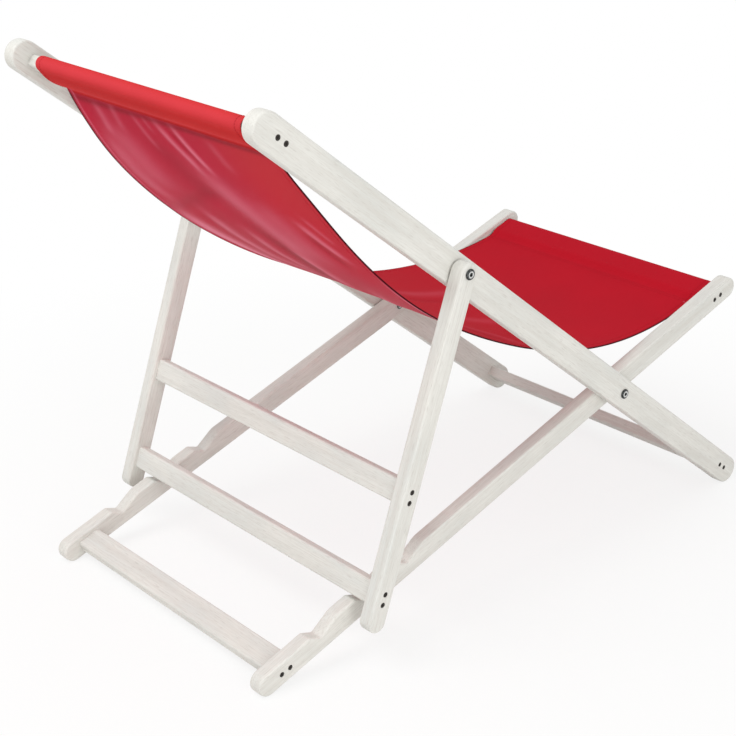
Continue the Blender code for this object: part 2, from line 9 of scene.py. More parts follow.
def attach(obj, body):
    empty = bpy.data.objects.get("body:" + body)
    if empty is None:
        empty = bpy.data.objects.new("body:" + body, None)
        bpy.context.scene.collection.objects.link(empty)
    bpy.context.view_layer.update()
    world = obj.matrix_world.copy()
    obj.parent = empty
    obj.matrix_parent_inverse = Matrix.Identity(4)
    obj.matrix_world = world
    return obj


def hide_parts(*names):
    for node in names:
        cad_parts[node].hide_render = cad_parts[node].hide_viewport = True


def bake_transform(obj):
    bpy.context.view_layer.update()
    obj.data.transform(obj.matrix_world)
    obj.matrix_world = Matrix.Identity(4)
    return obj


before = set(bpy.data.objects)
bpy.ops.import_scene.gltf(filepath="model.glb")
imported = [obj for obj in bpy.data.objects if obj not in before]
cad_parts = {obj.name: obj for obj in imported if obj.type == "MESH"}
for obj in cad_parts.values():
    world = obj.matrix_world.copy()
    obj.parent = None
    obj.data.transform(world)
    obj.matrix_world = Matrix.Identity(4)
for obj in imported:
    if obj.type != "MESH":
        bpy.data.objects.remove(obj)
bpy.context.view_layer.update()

# Metres, +Z up, +X to the sitter's feet, +Y to the sitter's left
# A frame has its own x along its rails to the feet and z on the upper side, with zero at its bolt
chair = {
    "back": {"x": 0.182445, "z": 0.236235, "slope": 37.976, "side": 0.262, "body": "back_frame"},
    "seat": {"x": 0.182445, "z": 0.236235, "slope": -18.942, "side": 0.239, "body": "seat_frame"},
    "prop": {"x": -0.166758, "z": 0.508825, "slope": -71.080, "side": 0.285, "body": "prop_frame"},
    "railThick": 0.0215,
    "washerGap": 0.0015,
    "propBolt": -0.443,  # its x on the back frame
    "gap": 0.0003,
}


def toLinear(hexColour):
    # sRGB hex to linear: below 0.04045 divided by 12.92, above it ((c + 0.055) / 1.055) to the power 2.4
    srgb = np.array([int(hexColour[i:i + 2], 16) for i in (1, 3, 5)]) / 255
    linear = np.where(srgb <= 0.04045, srgb / 12.92, ((srgb + 0.055) / 1.055) ** 2.4)
    return (*linear.tolist(), 1.0)


def smoothStep(low, high, value):
    # 0 below low, 1 above high, 3t^2 - 2t^3 between them
    t = np.clip((value - low) / (high - low), 0, 1)
    return t * t * (3 - 2 * t)


def addNode(tree, kind, settings=None):
    # one node; a setting is a property of it, the value of an input, or the socket that feeds an input
    node = tree.nodes.new("ShaderNode" + kind)
    for key, value in (settings or {}).items():
        if isinstance(value, bpy.types.NodeSocket):
            tree.links.new(value, node.inputs[key])
        elif isinstance(key, str) and hasattr(node, key):
            setattr(node, key, value)
        else:
            node.inputs[key].default_value = value
    return node


def addMath(tree, operation, *values, clamp=False):
    settings = {"operation": operation, "use_clamp": clamp, **dict(enumerate(values))}
    return addNode(tree, "Math", settings).outputs["Value"]


def mapRange(tree, value, low, high, first=0.0, last=1.0, interpolation="LINEAR"):
    # what lies between low and high comes out between first and last
    settings = {"interpolation_type": interpolation, "Value": value, "From Min": low, "From Max": high}
    settings.update({"To Min": first, "To Max": last})
    return addNode(tree, "MapRange", settings).outputs["Result"]


def mixColours(tree, share, first, second):
    # each colour is a hex string or a socket
    first, second = (toLinear(colour) if isinstance(colour, str) else colour for colour in (first, second))
    return addNode(tree, "Mix", {"data_type": "RGBA", 0: share, 6: first, 7: second}).outputs[2]


def addNoise(tree, place, scale, detail, roughness=0.5):
    settings = {"Vector": place, "Scale": scale, "Detail": detail, "Roughness": roughness}
    return addNode(tree, "TexNoise", settings).outputs["Fac"]


def addBump(tree, height, strength, distance):
    settings = {"Height": height, "Strength": strength, "Distance": distance}
    return addNode(tree, "Bump", settings).outputs["Normal"]


def readAttribute(tree, name, output="Fac"):
    return addNode(tree, "Attribute", {"attribute_name": name}).outputs[output]


def objectPlace(tree):
    return addNode(tree, "TexCoord").outputs["Object"]


def newMaterial(name):
    material = bpy.data.materials.new(name)
    material.use_nodes = True
    tree = material.node_tree
    tree.nodes.clear()
    return material, tree


def endMaterial(material, settings):
    shader = addNode(material.node_tree, "BsdfPrincipled", settings)
    addNode(material.node_tree, "OutputMaterial", {"Surface": shader.outputs["BSDF"]})
    return material


def turnToChair(points, spot):
    # turned about +Y by the slope a, then moved: x = x0 + x cos a + z sin a, z = z0 - x sin a + z cos a
    a = math.radians(spot["slope"])
    x, y, z = np.moveaxis(np.asarray(points, float), -1, 0)
    along, up = spot["x"] + x * math.cos(a) + z * math.sin(a), spot["z"] - x * math.sin(a) + z * math.cos(a)
    return np.stack((along, y, up), -1)


def turnBack(points, spot):
    # the other way round, from the chair to the frame's own axes
    a = math.radians(spot["slope"])
    x, y, z = points[:, 0] - spot["x"], points[:, 1], points[:, 2] - spot["z"]
    return np.stack((x * math.cos(a) - z * math.sin(a), y, x * math.sin(a) + z * math.cos(a)), -1)


def gridFaces(rows, columns, wrapRows=False, wrapColumns=False):
    # a quad between each point of a grid and its neighbours in the next row and column
    r = np.arange(rows if wrapRows else rows - 1)[:, None]
    c = np.arange(columns if wrapColumns else columns - 1)[None, :]
    nextR, nextC = (r + 1) % rows, (c + 1) % columns
    quad = (r * columns + c, r * columns + nextC, nextR * columns + nextC, nextR * columns + c)
    return np.stack(quad, -1).reshape(-1, 4)


def joinShells(shells):
    # the points and faces of several closed shells as those of one mesh
    points, faces, total = [], [], 0
    for shellPoints, shellFaces in shells:
        points.append(shellPoints)
        faces += [[index + total for index in face] for face in shellFaces]
        total += len(shellPoints)
    return np.concatenate(points), faces


def camelName(node):
    first, *others = node.split("_")
    return first + "".join(word.capitalize() for word in others)


def addObject(name, data):
    thing = bpy.data.objects.new(name, data)
    bpy.context.scene.collection.objects.link(thing)
    return thing


def addPiece(name, points, faces, material, sharp=35.0):
    # closed mesh, faces outwards, smooth but for edges sharper than the angle
    mesh = bpy.data.meshes.new(name)
    mesh.from_pydata(np.asarray(points).reshape(-1, 3).tolist(), [], [list(face) for face in faces])
    shell = bmesh.new()
    shell.from_mesh(mesh)
    bmesh.ops.recalc_face_normals(shell, faces=shell.faces)
    shell.to_mesh(mesh)
    shell.free()
    mesh.polygons.foreach_set("use_smooth", np.ones(len(mesh.polygons), bool))
    mesh.set_sharp_from_angle(angle=math.radians(sharp))
    mesh.materials.append(material)
    return addObject(name, mesh)


def setAttribute(piece, name, values, kind="FLOAT"):
    attribute = piece.data.attributes.new(name, kind, "POINT")
    attribute.data.foreach_set("value" if kind == "FLOAT" else "vector", np.asarray(values, np.float32).ravel())


def meshPoints(piece):
    points = np.empty(3 * len(piece.data.vertices), np.float32)
    piece.data.vertices.foreach_get("co", points)
    return points.reshape(-1, 3).astype(float)


def bezier(first, second, third, last, count):
    # cubic curve: (1-t)^3 a + 3(1-t)^2 t b + 3(1-t) t^2 c + t^3 d
    t = np.linspace(0, 1, count)[:, None]
    return (1 - t) ** 3 * first + 3 * (1 - t) ** 2 * t * second + 3 * (1 - t) * t * t * third + t ** 3 * last


def arc(centre, radius, start, end, count):
    angle = np.linspace(start, end, count)
    return np.stack((centre[0] + radius * np.cos(angle), centre[1] + radius * np.sin(angle)), -1)


def circle(count):
    return 2 * math.pi * np.arange(count) / count


woodLook = {
    "wash": "#E1E0DA",  # the white wash itself
    "thin": "#CFCCC5",  # where the grain takes less of it
    "cool": "#D6D8D4",  # a greyer patch
    "bare": "#C6B8A4",  # beech through the wash on a rubbed edge
    "dash": "#B7B2AA",  # rays of the beech, short dark dashes
    # length and width, detail, roughness; where the noise starts to show and shows in full, and its full share
    "streak": (0.060, 0.0012, 3.0, 0.6, 0.44, 0.70, 0.65),  # grain line
    "band": (0.40, 0.007, 2.0, 0.5, 0.42, 0.68, 0.45),  # growth band
    "fleck": (0.0160, 0.0010, 1.0, 0.5, 0.57, 0.74, 0.50),
    "patch": (0.10, 0.10 / 3, 2.0, 0.5, 0.40, 0.66, 0.8),
    "gloss": (0.3, 0.7, 0.48, 0.62),  # roughness 0.48 to 0.62 over the streaks from 0.3 to 0.7
    "relief": (0.25, 0.00012),
}


def makeWood():
    # White-washed beech, planed, sanded and sprayed: pale and nearly matt, the grain only just showing
    material, tree = newMaterial("whiteWashedBeech")
    place = readAttribute(tree, "grainPlace", "Vector")
    noise, share = {}, {}
    for name in ("streak", "band", "fleck", "patch"):
        # noise drawn out along the board, and the share of its colour
        length, width, detail, roughness, low, high, most = woodLook[name]
        settings = {"Vector": place, "Scale": (1 / length, 1 / width, 1 / width)}
        scaled = addNode(tree, "Mapping", settings).outputs["Vector"]
        noise[name] = addNoise(tree, scaled, 1.0, detail, roughness)
        share[name] = mapRange(tree, noise[name], low, high, 0.0, most)
    colour = mixColours(tree, share["patch"], woodLook["wash"], woodLook["cool"])
    for name, tone in (("band", "thin"), ("streak", "thin"), ("fleck", "dash")):
        colour = mixColours(tree, share[name], colour, woodLook[tone])
    wear = addMath(tree, "MULTIPLY", readAttribute(tree, "rubbed"), share["patch"])
    return endMaterial(material, {
        "IOR": 1.47, "Base Color": mixColours(tree, wear, colour, woodLook["bare"]),
        "Roughness": mapRange(tree, noise["streak"], *woodLook["gloss"]),
        "Normal": addBump(tree, noise["streak"], *woodLook["relief"]),
    })


canvasLook = {
    "face": {
        "name": "redPolyesterCanvas", "colour": "#B51425",
        "roughness": 0.80, "specular": 0.06, "sheen": 0.02, "spread": 0.5,
    },
    "reverse": {
        "name": "redCoatedReverse", "colour": "#BA1A37",
        "roughness": 0.52, "specular": 0.035, "sheen": 0.036, "spread": 0.25,
    },
    "lit": "#CB2927",  # painted light: a brighter orange red where light falls on the sleeve and comes through the cloth
    "highlight": "#E47F95",  # painted highlight: pale on fold ridges, along hems and on the bar's edge
    "paintedShade": "#8A0E21",  # painted shade in the folds, at the seam and at the hem's end
    "edge": "#3E0811",  # painted shade along the cloth's edges, wider along the far edge of the reverse
    "shine": "#FFB0BC",  # of the sheen
    "thread": 0.0009,  # thread spacing, drawn coarser than the real 0.5 mm so that it shows
    "relief": (0.35, 0.00015),
    "slub": (900, 60, 1),  # uneven threads to the metre, across the cloth and along it
    "cloud": 9.0,  # faint clouds in the dye to the metre
    "cloudTone": (0.16, 0.86),
    "slubTone": 0.12,
    "glossSpread": 0.04,
}


def makeCanvas(side):
    # Piece-dyed polyester canvas, plain weave: saturated red and matt on its face; the reverse has a thin coating,
    # which makes it a little bluer and gives it a soft sheen. The pale on its folds is a painted highlight, and
    # painted light and painted shade are mixed into the colour as well
    material, tree = newMaterial(side["name"])
    place = addNode(tree, "UVMap", {"uv_map": "clothPlace"}).outputs["UV"]
    split = addNode(tree, "SeparateXYZ", {"Vector": place})
    heights = []
    for axis in ("X", "Y"):
        # threads side by side: |sin| of the way across them; both directions multiplied give the weave's small knobs
        way = addMath(tree, "MULTIPLY", split.outputs[axis], math.pi / canvasLook["thread"])
        heights.append(addMath(tree, "ABSOLUTE", addMath(tree, "SINE", way)))
    weave = addMath(tree, "MULTIPLY", *heights)
    drawn = addNode(tree, "Mapping", {"Vector": place, "Scale": canvasLook["slub"]}).outputs["Vector"]
    slub = addNoise(tree, drawn, 1.0, 2.0)
    cloud = addNoise(tree, place, canvasLook["cloud"], 2.0)
    colour = side["colour"]
    # painted light, painted shade and painted highlight, read from the cloth's attributes, mixed into its colour
    for name, tone in (("paintedLight", "lit"), ("paintedShade", "paintedShade"), ("paintedHighlight", "highlight")):
        colour = mixColours(tree, readAttribute(tree, name), colour, canvasLook[tone])
    tone = addMath(tree, "MULTIPLY_ADD", cloud, *canvasLook["cloudTone"])
    grit = addMath(tree, "MULTIPLY_ADD", slub, canvasLook["slubTone"], tone)
    shade = addNode(tree, "VectorMath", {"operation": "SCALE", 0: colour, "Scale": grit}).outputs["Vector"]
    rough, spread = side["roughness"], canvasLook["glossSpread"]
    return endMaterial(material, {
        "IOR": 1.5, "Specular IOR Level": side["specular"],
        "Sheen Weight": side["sheen"], "Sheen Roughness": side["spread"], "Sheen Tint": toLinear(canvasLook["shine"]),
        # painted shade along the cloth's edges
        "Base Color": mixColours(tree, readAttribute(tree, "edgeShade"), shade, canvasLook["edge"]),
        "Roughness": mapRange(tree, cloud, 0.0, 1.0, rough - spread, rough + spread),
        "Normal": addBump(tree, weave, *canvasLook["relief"]),
    })


def makeThread():
    # Polyester sewing thread, twisted: a shade deeper than the canvas, with a fine twist along each stitch
    material, tree = newMaterial("redSewingThread")
    settings = {"bands_direction": "DIAGONAL", "Vector": objectPlace(tree), "Scale": 1400.0, "Distortion": 1.0}
    twist = addNode(tree, "TexWave", settings).outputs["Fac"]
    return endMaterial(material, {
        "IOR": 1.5, "Roughness": 0.7, "Specular IOR Level": 0.1,
        "Base Color": mixColours(tree, twist, "#96101E", "#B01626"), "Normal": addBump(tree, twist, 0.4, 0.00005),
    })


metalLook = {
    "bright": "#E0E1DF",  # painted highlight: a bright ring of reflection round the key socket
    "dark": "#3A3D3D",  # painted reflection and painted shade: dark towards the rim and down in the socket
    "rim": (0.50, 0.74),  # where the dark starts and is full, as shares of the head's radius
    "socket": (0.42, 0.33),
    "spangle": 700.0,  # to the metre
    "spangleTone": (0.8, -0.40),
    "zincGloss": (0.22, 0.42),
    "screwDark": "#2B2826",
    "screwPale": "#4A4541",
    "mottle": 1500.0,
    "screwGloss": (0.40, 0.62),
}


def makeZinc():
    # Pressed steel, zinc plated and passivated: dark grey metal with a painted highlight, a bright ring round the key
    # socket, and a painted dark reflection at the rim and painted shade in the socket
    material, tree = newMaterial("zincPlatedSteel")
    outward = readAttribute(tree, "fromMiddle")
    spangle = addNoise(tree, objectPlace(tree), metalLook["spangle"], 3.0)
    rim = mapRange(tree, outward, *metalLook["rim"], interpolation="SMOOTHSTEP")
    socket = mapRange(tree, outward, *metalLook["socket"], interpolation="SMOOTHSTEP")
    speck = addMath(tree, "MULTIPLY_ADD", spangle, *metalLook["spangleTone"])
    # painted reflection and painted shade: dark at the rim and in the socket, broken up by the speckles; the rest is
    # the painted highlight
    dark = addMath(tree, "ADD", addMath(tree, "ADD", rim, socket), speck, clamp=True)
    return endMaterial(material, {
        "Metallic": 1.0, "Base Color": mixColours(tree, dark, metalLook["bright"], metalLook["dark"]),
        "Roughness": mapRange(tree, spangle, 0.0, 1.0, *metalLook["zincGloss"]),
    })


def makeScrewSteel():
    # Hardened screw steel, phosphated: dark brown-grey, finely mottled, no bright spot
    material, tree = newMaterial("phosphatedScrewSteel")
    mottle = addNoise(tree, objectPlace(tree), metalLook["mottle"], 3.0)
    return endMaterial(material, {
        "Metallic": 0.7, "Base Color": mixColours(tree, mottle, metalLook["screwDark"], metalLook["screwPale"]),
        "Roughness": mapRange(tree, mottle, 0.0, 1.0, *metalLook["screwGloss"]),
    })


woodFinish = makeWood()
canvasFinish = makeCanvas(canvasLook["face"])
reverseFinish = makeCanvas(canvasLook["reverse"])
threadFinish = makeThread()
zincFinish = makeZinc()
screwFinish = makeScrewSteel()
print("materials made")


boltSet = {
    "bolt": (0.0073, 0.0026),  # radius and height of the head
    "nut": (0.0052, 0.0018),
    "shankRadius": 0.003,
    "shankShort": 0.004,  # how far it ends before the inner face
    "sleeveRadius": 0.0040,
    "sleeveLength": 0.012,
    "keyWidth": 0.005,  # across the flats
    "keyDepth": 0.0018,
    # rings of the socket and of the head's rim: shares of the hexagon and of the key's depth, of radius and height
    "socket": ((0.15, -1.0), (0.80, -1.0), (0.97, -0.97), (1.0, -0.90), (1.0, -0.12), (1.03, -0.03), (1.09, 0.0)),
    "rim": ((1.0, 0.20), (0.985, 0.06), (0.95, 0.0)),
    "dome": (12, 1.16, 0.42, 2.6),  # rings, start as a share of the hexagon's corner, height left at the rim, power
    "washerRadius": 0.009,
    "washerEase": 0.00015,  # its broken corners
    "around": 72,
}
screwSet = {
    "pitch": 0.0145,
    "headRadius": 0.0034,
    "headSunk": 0.0004,
    "rim": 0.0005,
    "edge": 0.00015,  # broken edge of the head
    "radius": 0.0019,
    "length": 0.048,
    "point": 0.006,
    "tip": 0.0003,
    # half width of an arm, half the slope of its walls, its reach, where its floor starts to rise, its depth
    "cross": (0.00052, 0.00012, 0.0021, 0.0007, 0.0013),
    "crossRings": (0.0001, 0.0024, 17),
    "flatRing": 0.0028,
    "sink": 0.0028,  # depth of the countersunk hole
    "holeFlare": 0.0002,  # its broken edge
    "holeLip": 0.0003,
    "around": 64,
}


def roundRings(pairs, count):
    # radii and depths of plain round rings, as two arrays of rings by points
    return np.repeat(np.array(pairs).T[:, :, None], count, 2)


def turnedPoints(rings, x, side):
    # ring i has radius r(i, angle) and lies at depth(i, angle) from the middle plane, on an axis along Y
    (radii, depths), angle = rings, circle(rings.shape[2])
    return np.stack((x + radii * np.cos(angle), side * depths, radii * np.sin(angle)), -1)


def turnedFaces(rings, count):
    # the grid of rings, with a flat cap at each end
    faces = gridFaces(rings, count, wrapColumns=True).tolist()
    return faces + [list(range(count)), list(range((rings - 1) * count, rings * count))]


def makeTurned(node, rings, spot, x, side, material, sharp=35.0, faces=None):
    points = turnToChair(turnedPoints(rings, x, side), spot)
    piece = addPiece(camelName(node), points, faces or turnedFaces(*rings.shape[1:]), material, sharp)
    setAttribute(piece, "fromMiddle", rings[0] / rings[0].max())
    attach(piece, spot["body"])
    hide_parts(node)


def headRings(radius, height, count):
    # low dome with a six-sided key socket: inside it the radius is that of a hexagon, outside a circle's;
    # the dome falls from 1 to e at its rim as e + (1 - e) sqrt(1 - t^p)
    flat, (domeRings, start, edge, power) = boltSet["keyWidth"] / 2, boltSet["dome"]
    hexagon = flat / np.cos((circle(count) + math.pi / 6) % (math.pi / 3) - math.pi / 6)
    socket = roundRings(boltSet["socket"], count)
    socket[0] *= hexagon
    socket[1] = height + boltSet["keyDepth"] * socket[1]
    first = start * flat / math.cos(math.pi / 6) / radius
    share = np.linspace(first, 1.0, domeRings)
    fall = (share - first) / (1 - first)
    rise = edge + (1 - edge) * np.sqrt(np.maximum(0.0, 1 - fall ** power))
    outer = np.concatenate((np.stack((share, rise), 1), boltSet["rim"])) * (radius, height)
    return np.concatenate((socket, roundRings(outer, count)), 1)


def makeBoltSet(place, x, outerFace, sideName, side):
    # bolt with its head on the outer face, sleeve nut on the inner face, washer between the two rails
    spot = chair["back"]
    count, gap = boltSet["around"], chair["gap"]
    between = outerFace - chair["railThick"]
    innerFace = between - chair["washerGap"] - chair["railThick"]
    for part, face, outward, rod, end in (
        ("bolt", outerFace, 1, boltSet["shankRadius"], innerFace + boltSet["shankShort"]),
        ("nut", innerFace, -1, boltSet["sleeveRadius"], innerFace + boltSet["sleeveLength"]),
    ):
        rings = headRings(*boltSet[part], count)
        rings[1] = face + outward * (gap + rings[1])
        rings = np.concatenate((rings, roundRings(((rod, face), (rod, end)), count)), 1)
        makeTurned(f"{place}_{part}_{sideName}", rings, spot, x, side, zincFinish)
    # flat ring whose section is a rectangle with broken corners
    hole, rim, ease = boltSet["shankRadius"] + gap, boltSet["washerRadius"], boltSet["washerEase"]
    middle, thick = between - chair["washerGap"] / 2, chair["washerGap"] / 2 - gap / 3
    half = np.array([(hole, -thick + ease), (hole + ease, -thick), (rim - ease, -thick), (rim, -thick + ease)])
    section = np.concatenate((half, half[::-1] * (1, -1))) + (0, middle)
    rings, faces = roundRings(section, count), gridFaces(len(section), count, True, True).tolist()
    makeTurned(f"{place}_washer_{sideName}", rings, spot, x, side, zincFinish, faces=faces)


def screwRings():
    # flat head with a cross recess: full depth where a point is inside an arm, easing out at its walls;
    # depths are counted into the wood
    count = screwSet["around"]
    angle, head, edge = circle(count), screwSet["headRadius"], screwSet["edge"]
    halfArm, ease, long, floor, deep = screwSet["cross"]
    radii = np.concatenate((np.linspace(*screwSet["crossRings"]), [screwSet["flatRing"], head - edge]))
    radii = radii[:, None] * np.ones(count)
    u, w = np.abs(radii * np.cos(angle)), np.abs(radii * np.sin(angle))
    arm = smoothStep(halfArm + ease, halfArm - ease, np.minimum(u, w))
    depths = deep * arm * smoothStep(long, floor, np.maximum(u, w))
    radius, long, taper = screwSet["radius"], screwSet["length"], head - screwSet["radius"]
    below = [
        (head, edge), (head, screwSet["rim"]), (radius, screwSet["rim"] + taper),
        (radius, long - screwSet["point"]), (screwSet["tip"], long),
    ]
    return np.concatenate((np.stack((radii, depths)), roundRings(below, count)), 1)


def makeScrews(bar, spot, x):
    # two screws into each end of a bar, each with its cross turned to an angle of its own
    for sideName, side in (("left", 1), ("right", -1)):
        for number, offset in ((1, -screwSet["pitch"] / 2), (2, screwSet["pitch"] / 2)):
            turn = int((x * 977 + side * 13 + number * 29) * 7) % screwSet["around"]
            node, rings = f"{bar}_screw_{sideName}_{number}", screwRings()
            rings[1] = spot["side"] - screwSet["headSunk"] - np.roll(rings[1], turn, 1)
            makeTurned(node, rings, spot, x + offset, side, screwFinish, 50.0)


rails = {
    "edge": 0.003,  # radius along every edge
    "edgeSteps": 6,
    "endSteps": 44,
    "rubbed": (0.0004, -0.0010, 0.5),  # bare wood on the two faces, gone 0.4 mm from them
    "back": {"width": 0.042, "head": 0.8345, "foot": 0.3716},
    "seat": {"width": 0.032, "head": 0.696, "foot": 0.297},
    "prop": {"width": 0.028, "head": 0.480, "foot": 0.014},
}
notches = {
    "count": 3,
    "nearest": 0.4425,  # frame bolt to the shoulder of the nearest notch
    "pitch": 0.0805,
    "depth": 0.012,
    "ramp": 0.034,
    "floorRound": 0.005,
    "shoulderRound": 0.006,
    "rampRound": 0.030,
    "legToSeat": 52.138,  # degrees, prop leg to seat rail
}
barEdge = 0.003
barForms = {  # frame, x along it and that of the screws, width, thickness
    "head_bar": ("back", -0.789, -0.789, 0.036, 0.016),
    "stretcher_bar": ("back", 0.3317, 0.3317, 0.036, 0.018),
    "knee_bar": ("seat", 0.2545, 0.2545, 0.036, 0.016),
    "rear_bar": ("seat", -0.651, -0.651, 0.036, 0.016),
    "prop_upper_bar": ("prop", -0.2915, -0.2940, 0.032, 0.016),
    "prop_lower_bar": ("prop", -0.4305, -0.4330, 0.032, 0.016),
}
bars = {node: dict(zip(("on", "x", "screws", "width", "thick"), form)) for node, form in barForms.items()}


def roundedLine(corners, steps):
    # through corners (x, z, radius), each inner one an arc tangent to both of its legs
    line = []
    for behind, here, ahead in zip(corners, corners[1:], corners[2:]):
        corner, radius = np.array(here[:2]), here[2]
        before, after = np.array(behind[:2]) - corner, np.array(ahead[:2]) - corner
        before, after = before / np.linalg.norm(before), after / np.linalg.norm(after)
        half = math.acos(np.clip(before @ after, -1, 1)) / 2
        centre = corner + (before + after) / np.linalg.norm(before + after) * radius / math.sin(half)
        first = corner + before * radius / math.tan(half) - centre
        last = corner + after * radius / math.tan(half) - centre
        start = math.atan2(first[1], first[0])
        sweep = math.atan2(first[0] * last[1] - first[1] * last[0], first @ last)
        line.append(arc(centre, radius, start, start + sweep, max(4, round(steps * abs(sweep) / math.pi) + 1)))
    return np.concatenate(line)


def notchLine():
    # upper edge from the knee to the foot: a long ramp down to each notch's floor and a steep wall up
    half, steep = rails["seat"]["width"] / 2, math.radians(90 - notches["legToSeat"])
    corners = [(rails["seat"]["foot"], half, 0)]
    for number in range(notches["count"]):
        shoulder = -(notches["nearest"] + number * notches["pitch"])
        floor = shoulder + notches["depth"] / math.tan(steep)
        corners += [
            (floor + notches["ramp"], half, notches["rampRound"]),
            (floor, half - notches["depth"], notches["floorRound"]),
            (shoulder, half, notches["shoulderRound"]),
        ]
    return roundedLine(corners + [(-rails["seat"]["head"], half, 0)], 60)


def inset(outline, distance):
    # each point moved inwards along the mean normal of its two edges
    ahead = np.roll(outline, -1, axis=0) - outline
    ahead /= np.linalg.norm(ahead, axis=1)[:, None]
    behind = np.roll(ahead, 1, axis=0)
    side = np.stack((-ahead[:, 1] - behind[:, 1], ahead[:, 0] + behind[:, 0]), 1)
    return outline + side / ((side * side).sum(1)[:, None] / 2) * distance


def subtract(piece, points, faces):
    # boolean with the exact solver, its result kept as the piece's mesh
    cutter = addPiece("holes", points, faces, woodFinish)
    hole = piece.modifiers.new("holes", "BOOLEAN")
    hole.operation, hole.solver, hole.object = "DIFFERENCE", "EXACT", cutter
    result = bpy.data.meshes.new_from_object(piece.evaluated_get(bpy.context.evaluated_depsgraph_get()))
    piece.modifiers.clear()
    old, piece.data = piece.data, result
    name, old.name = old.name, "old"
    result.name = name
    for mesh in (old, cutter.data):
        bpy.data.meshes.remove(mesh)


def holeShells(outerFace, side, screwPairs, boltHoles):
    # countersunk holes for the screws and plain holes for the bolts, as closed turned shells
    over, gap, count = 0.004, chair["gap"], 48
    inner, sunk = outerFace - chair["railThick"], outerFace - screwSet["headSunk"] - screwSet["rim"] - gap
    head, shank = screwSet["headRadius"] + gap, screwSet["radius"] + gap
    mouth = head + screwSet["holeFlare"]
    countersink = (
        (mouth, outerFace + over), (mouth, outerFace), (head, outerFace - screwSet["holeLip"]),
        (head, sunk), (shank, outerFace - screwSet["sink"]), (shank, inner - over),
    )
    offsets = (-screwSet["pitch"] / 2, screwSet["pitch"] / 2)
    holes = [(x + offset, countersink) for x in screwPairs for offset in offsets]
    holes += [(x, ((radius, inner - over), (radius, outerFace + over))) for x, radius in boltHoles]
    return joinShells([
        (turnedPoints(roundRings(profile, count), x, side).reshape(-1, 3), turnedFaces(len(profile), count))
        for x, profile in holes
    ])


woodPieces = []


def finishWood(piece, spot, grainAlong, node, rubbedFaces=(math.inf,)):
    # the grain's own coordinates: the first runs along the board, and each board has another part of the log;
    # the wash is rubbed at the faces that lie this far from the middle plane
    woodPieces.append(piece)
    local = turnBack(meshPoints(piece), spot)
    place = local if grainAlong == "x" else local[:, [1, 0, 2]]
    setAttribute(piece, "grainPlace", place + np.array((0.37, 0.61, 0.23)) * len(woodPieces), "FLOAT_VECTOR")
    full, none, most = rails["rubbed"]
    fromFace = np.min([np.abs(np.abs(local[:, 1]) - face) for face in rubbedFaces], 0)
    setAttribute(piece, "rubbed", smoothStep(full, none, fromFace) * most)
    piece.data.polygons.foreach_set("use_smooth", np.ones(len(piece.data.polygons), bool))
    piece.data.set_sharp_from_angle(angle=math.radians(32))
    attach(piece, spot["body"])
    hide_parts(node)


def makeRail(node, kind, side, boltHoles, upper=()):
    # the outline, inset by r(1 - sin a) at r(1 - cos a) from each face, is a board with round edges
    spot, size = chair[kind], rails[kind]
    outerFace, half = spot["side"], size["width"] / 2
    screwPairs = [bar["screws"] for bar in bars.values() if bar["on"] == kind]
    outline = np.concatenate(
        [arc((size["foot"] - half, 0), half, -math.pi / 2, math.pi / 2, rails["endSteps"])] + list(upper)
        + [arc((half - size["head"], 0), half, math.pi / 2, 1.5 * math.pi, rails["endSteps"])]
    )
    angle = np.linspace(0, math.pi / 2, rails["edgeSteps"] + 1)
    insets = rails["edge"] * (1 - np.sin(angle))
    fromFace = rails["edge"] * (1 - np.cos(angle))
    levels = np.concatenate((insets, insets[::-1]))
    innerFace = outerFace - chair["railThick"]
    depths = np.concatenate((innerFace + fromFace, outerFace - fromFace[::-1]))
    rings = np.array([inset(outline, level) for level in levels])
    y = np.repeat(side * depths[:, None], len(outline), 1)
    local = np.stack((rings[:, :, 0], y, rings[:, :, 1]), -1)
    piece = addPiece(camelName(node), local, turnedFaces(len(levels), len(outline)), woodFinish)
    piece.data.polygons.foreach_set("use_smooth", np.array([len(f.vertices) == 4 for f in piece.data.polygons]))
    subtract(piece, *holeShells(outerFace, side, screwPairs, boltHoles))
    points = turnToChair(meshPoints(piece), spot)
    points[:, 2] = np.maximum(points[:, 2], 0)  # the foot's worn flat
    piece.data.vertices.foreach_set("co", points.astype(np.float32).ravel())
    piece.data.update()
    finishWood(piece, spot, "x", node, (outerFace, innerFace))


def makeBar(node, rows=25):
    # a rounded rectangle carried from rail to rail
    bar = bars[node]
    spot, x, width, thick = chair[bar["on"]], bar["x"], bar["width"], bar["thick"]
    corners = [(x + sx * width / 2, sz * thick / 2, barEdge) for sx, sz in ((-1, -1), (1, -1), (1, 1), (-1, 1))]
    section = roundedLine(corners[-1:] + corners + corners[:1], 24)
    reach = spot["side"] - chair["railThick"] - chair["gap"] / 2
    y = np.linspace(-reach, reach, rows)
    points = np.stack(np.broadcast_arrays(section[:, 0], y[:, None], section[:, 1]), -1)
    piece = addPiece(camelName(node), turnToChair(points, spot), turnedFaces(rows, len(section)), woodFinish)
    finishWood(piece, spot, "y", node)
    makeScrews(node, spot, bar["screws"])


outerHole, innerHole = boltSet["shankRadius"] + chair["gap"], boltSet["sleeveRadius"] + chair["gap"]
propBolt = chair["propBolt"]
for sideName, side in (("left", 1), ("right", -1)):
    makeRail(f"back_rail_{sideName}", "back", side, ((0, outerHole), (propBolt, innerHole)))
    makeRail(f"seat_rail_{sideName}", "seat", side, ((0, innerHole),), [notchLine()])
    makeRail(f"prop_leg_{sideName}", "prop", side, ((0, outerHole),))
    makeBoltSet("frame", 0, chair["back"]["side"], sideName, side)
    makeBoltSet("prop", propBolt, chair["prop"]["side"], sideName, side)
for node in bars:
    makeBar(node)
print("rails, bars, bolts and screws made")


